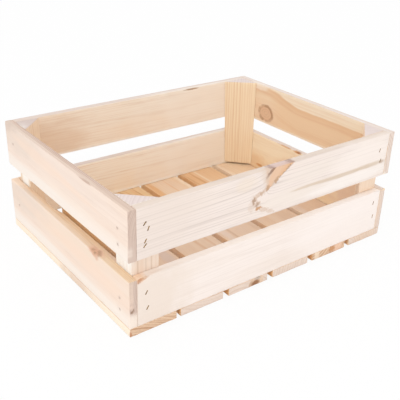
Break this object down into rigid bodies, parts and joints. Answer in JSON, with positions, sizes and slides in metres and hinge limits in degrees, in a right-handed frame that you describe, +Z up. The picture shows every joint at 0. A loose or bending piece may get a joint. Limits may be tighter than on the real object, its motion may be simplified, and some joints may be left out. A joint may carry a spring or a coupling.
{
  "type": "wooden apple crate",
  "caption": "Low open wooden crate for fruit: slatted bottom, boarded sides with an airing gap all round, triangular corner posts, stapled and nailed.",
  "frame": {"origin": "middle of the crate's footprint, on the surface that it stands on", "axes": "+X along the crate, +Y from the front face to the back face, +Z up"},
  "size_m": [0.4, 0.3, 0.15],
  "materials": {
    "pine_long_board": "sawn, unfinished",
    "pine_end_board": "sawn, unfinished",
    "pine_post": "sawn, unfinished",
    "pine_slat": "sawn, unfinished",
    "staple_wire": "resin coated wire",
    "nail_steel": "bright wire"
  },
  "bodies": {
    "root": {"back_left_post": "pine_post", "back_lower_board": "pine_long_board", "back_right_post": "pine_post", "back_staple_lower_left_1": "staple_wire", "back_staple_lower_left_2": "staple_wire", "back_staple_lower_right_1": "staple_wire", "back_staple_lower_right_2": "staple_wire", "back_staple_upper_left_1": "staple_wire", "back_staple_upper_left_2": "staple_wire", "back_staple_upper_right_1": "staple_wire", "back_staple_upper_right_2": "staple_wire", "back_upper_board": "pine_long_board", "bottom_slat_1": "pine_slat", "bottom_slat_2": "pine_slat", "bottom_slat_3": "pine_slat", "bottom_slat_4": "pine_slat", "bottom_slat_5": "pine_slat", "bottom_slat_6": "pine_slat", "front_left_post": "pine_post", "front_lower_board": "pine_long_board", "front_right_post": "pine_post", "front_staple_lower_left_1": "staple_wire", "front_staple_lower_left_2": "staple_wire", "front_staple_lower_right_1": "staple_wire", "front_staple_lower_right_2": "staple_wire", "front_staple_upper_left_1": "staple_wire", "front_staple_upper_left_2": "staple_wire", "front_staple_upper_left_3": "staple_wire", "front_staple_upper_left_4": "staple_wire", "front_staple_upper_right_1": "staple_wire", "front_staple_upper_right_2": "staple_wire", "front_upper_board": "pine_long_board", "left_lower_end_board": "pine_end_board", "left_nail_lower_back_1": "nail_steel", "left_nail_lower_front_1": "nail_steel", "left_nail_lower_front_2": "nail_steel", "left_nail_upper_back_1": "nail_steel", "left_nail_upper_front_1": "nail_steel", "left_nail_upper_front_2": "nail_steel", "left_upper_end_board": "pine_end_board", "right_lower_end_board": "pine_end_board", "right_nail_lower_back_1": "nail_steel", "right_nail_lower_front_1": "nail_steel", "right_nail_lower_front_2": "nail_steel", "right_nail_upper_back_1": "nail_steel", "right_nail_upper_front_1": "nail_steel", "right_nail_upper_front_2": "nail_steel", "right_upper_end_board": "pine_end_board", "slat_staple_1_back": "staple_wire", "slat_staple_1_front": "staple_wire", "slat_staple_2_back": "staple_wire", "slat_staple_2_front": "staple_wire", "slat_staple_3_back": "staple_wire", "slat_staple_3_front": "staple_wire", "slat_staple_4_back": "staple_wire", "slat_staple_4_front": "staple_wire", "slat_staple_5_back": "staple_wire", "slat_staple_5_front": "staple_wire", "slat_staple_6_back": "staple_wire", "slat_staple_6_front": "staple_wire"}
  },
  "joints": []
}
